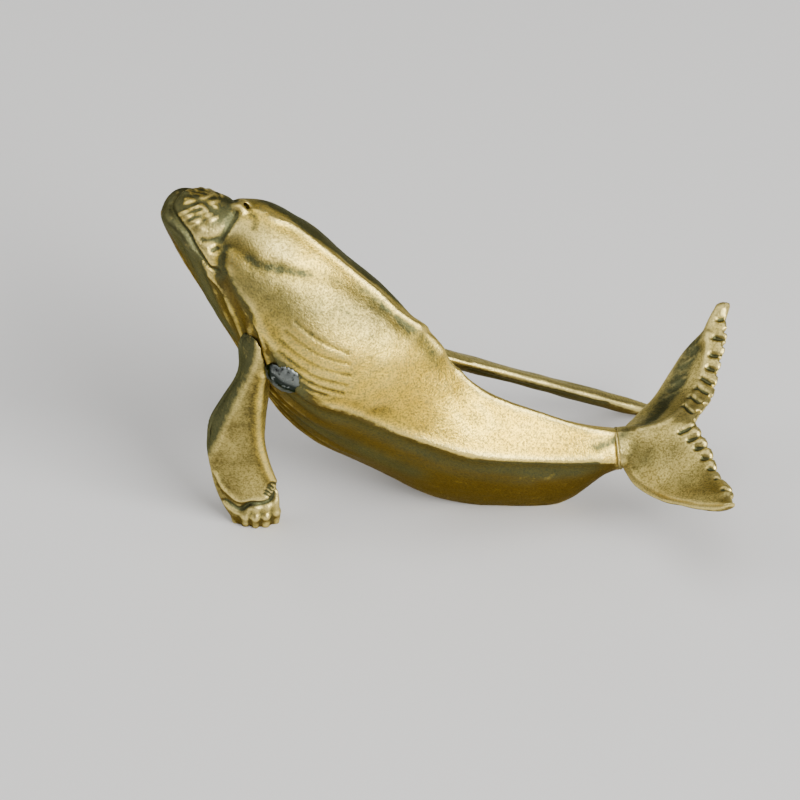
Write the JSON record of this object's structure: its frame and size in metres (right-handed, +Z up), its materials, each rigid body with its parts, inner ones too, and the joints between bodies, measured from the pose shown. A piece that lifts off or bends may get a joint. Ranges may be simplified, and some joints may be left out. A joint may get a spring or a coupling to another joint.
{
  "type": "whale figurine",
  "caption": "Small cast brass humpback whale ornament that rears up on its flippers and keeled belly, with soldered flippers and scalloped tail flukes.",
  "frame": {"origin": "middle of the whale's box in plan, on the surface that it rests on", "axes": "+X towards the tail, +Y to the whale's right side, +Z up"},
  "size_m": [0.0644, 0.034, 0.0422],
  "materials": {
    "brass": "aged cast brass, worn bright on the ridges, dark patina in the hollows",
    "solder": "grey solder, uneven and half bright"
  },
  "bodies": {
    "root": {"body_casting": "brass", "left_flipper": "brass", "right_flipper": "brass", "tail_flukes": "brass", "left_flipper_solder": "solder", "right_flipper_solder": "solder", "tail_solder": "solder"}
  },
  "joints": []
}
